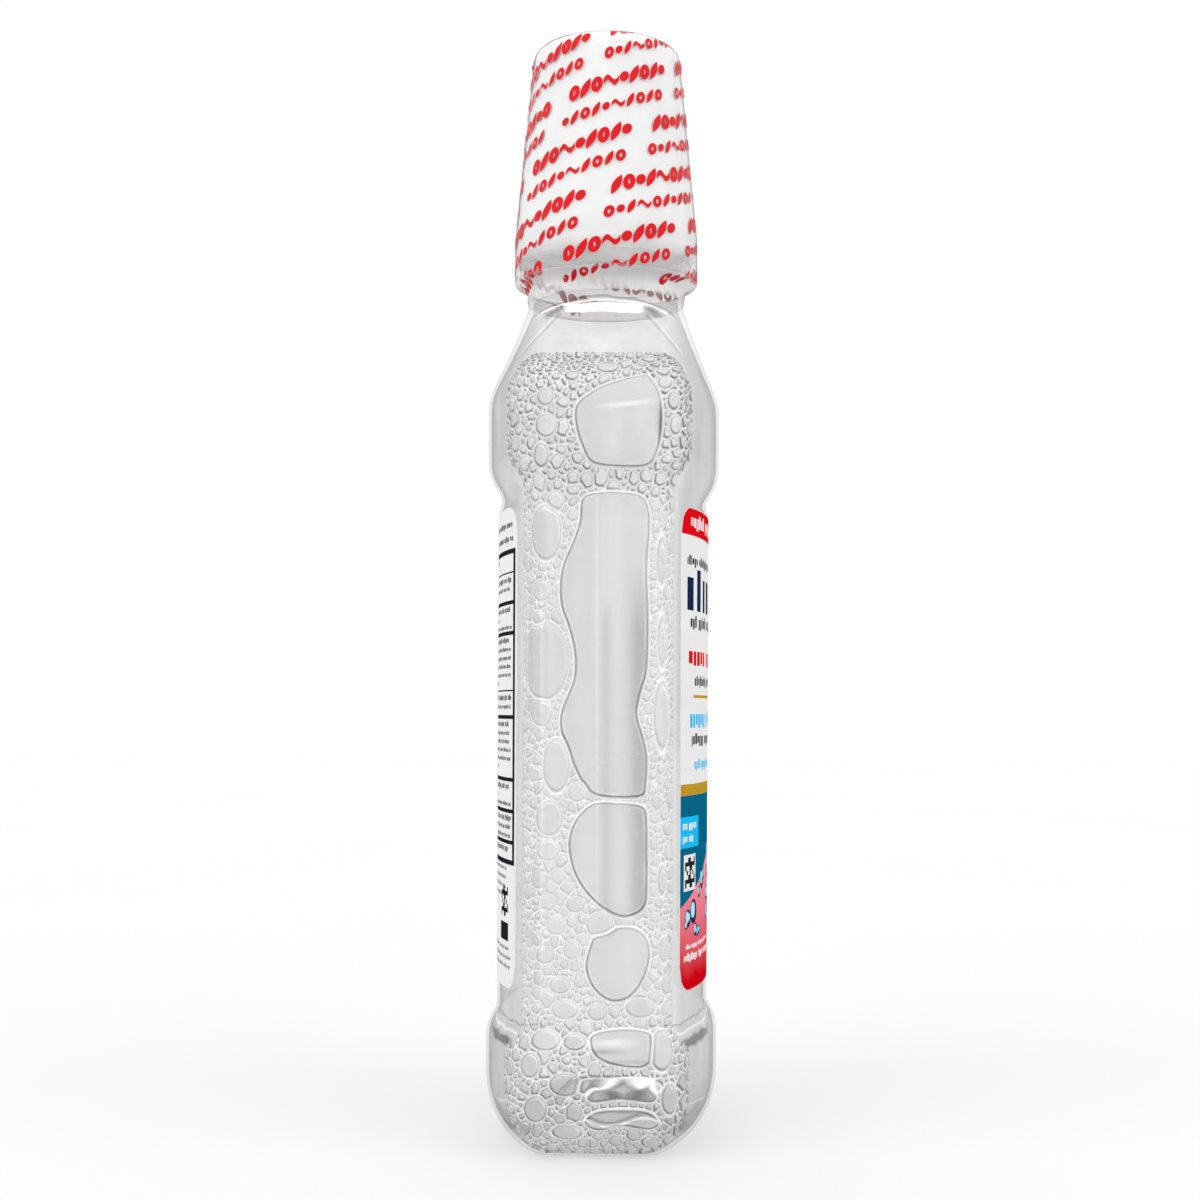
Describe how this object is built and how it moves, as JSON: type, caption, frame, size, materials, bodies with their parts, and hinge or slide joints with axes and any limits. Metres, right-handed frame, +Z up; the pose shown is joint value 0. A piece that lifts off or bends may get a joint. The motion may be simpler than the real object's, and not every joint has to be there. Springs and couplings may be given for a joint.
{
  "type": "mouthwash bottle",
  "caption": "Flat clear bottle of mouthwash with a screw-on tapered dosing cap under printed shrink film and a paper-thin label on each broad face.",
  "frame": {"origin": "centre of the footprint, on the plane the bottle stands on", "axes": "+Z up along the neck, X across the broad faces, the front label faces -Y"},
  "size_m": [0.083, 0.0488, 0.2306],
  "materials": {
    "bottle": "clear gloss",
    "cap": "milky satin",
    "cap_liner": "matte",
    "shrink_film": "clear gloss with red print",
    "shrink_film_hem": "clear gloss with red print",
    "front_label": "printed gloss",
    "back_label": "printed gloss",
    "liquid": "clear liquid",
    "foam": "bubbles"
  },
  "bodies": {
    "bottle": {"bottle": "bottle", "sleeve_hem": "shrink_film_hem", "front_label": "front_label", "back_label": "back_label", "mouthwash": "liquid", "foam": "foam"},
    "liner": {"cap_liner": "cap_liner"},
    "cap": {"cap": "cap", "sleeve": "shrink_film"}
  },
  "joints": [
    {"name": "cap_rise", "type": "slide", "parent": "bottle", "child": "liner", "axis": [0, 0, 1], "range_m": [0, 0.0148]},
    {"name": "cap_turn", "type": "hinge", "parent": "liner", "child": "cap", "pos_m": [0, 0, 0.188], "axis": [0, 0, 1], "range_deg": [0, 1260]}
  ],
  "couplings": [
    {"joint": "cap_rise", "follows": "cap_turn", "m_per_rad": 0.00066845}
  ]
}
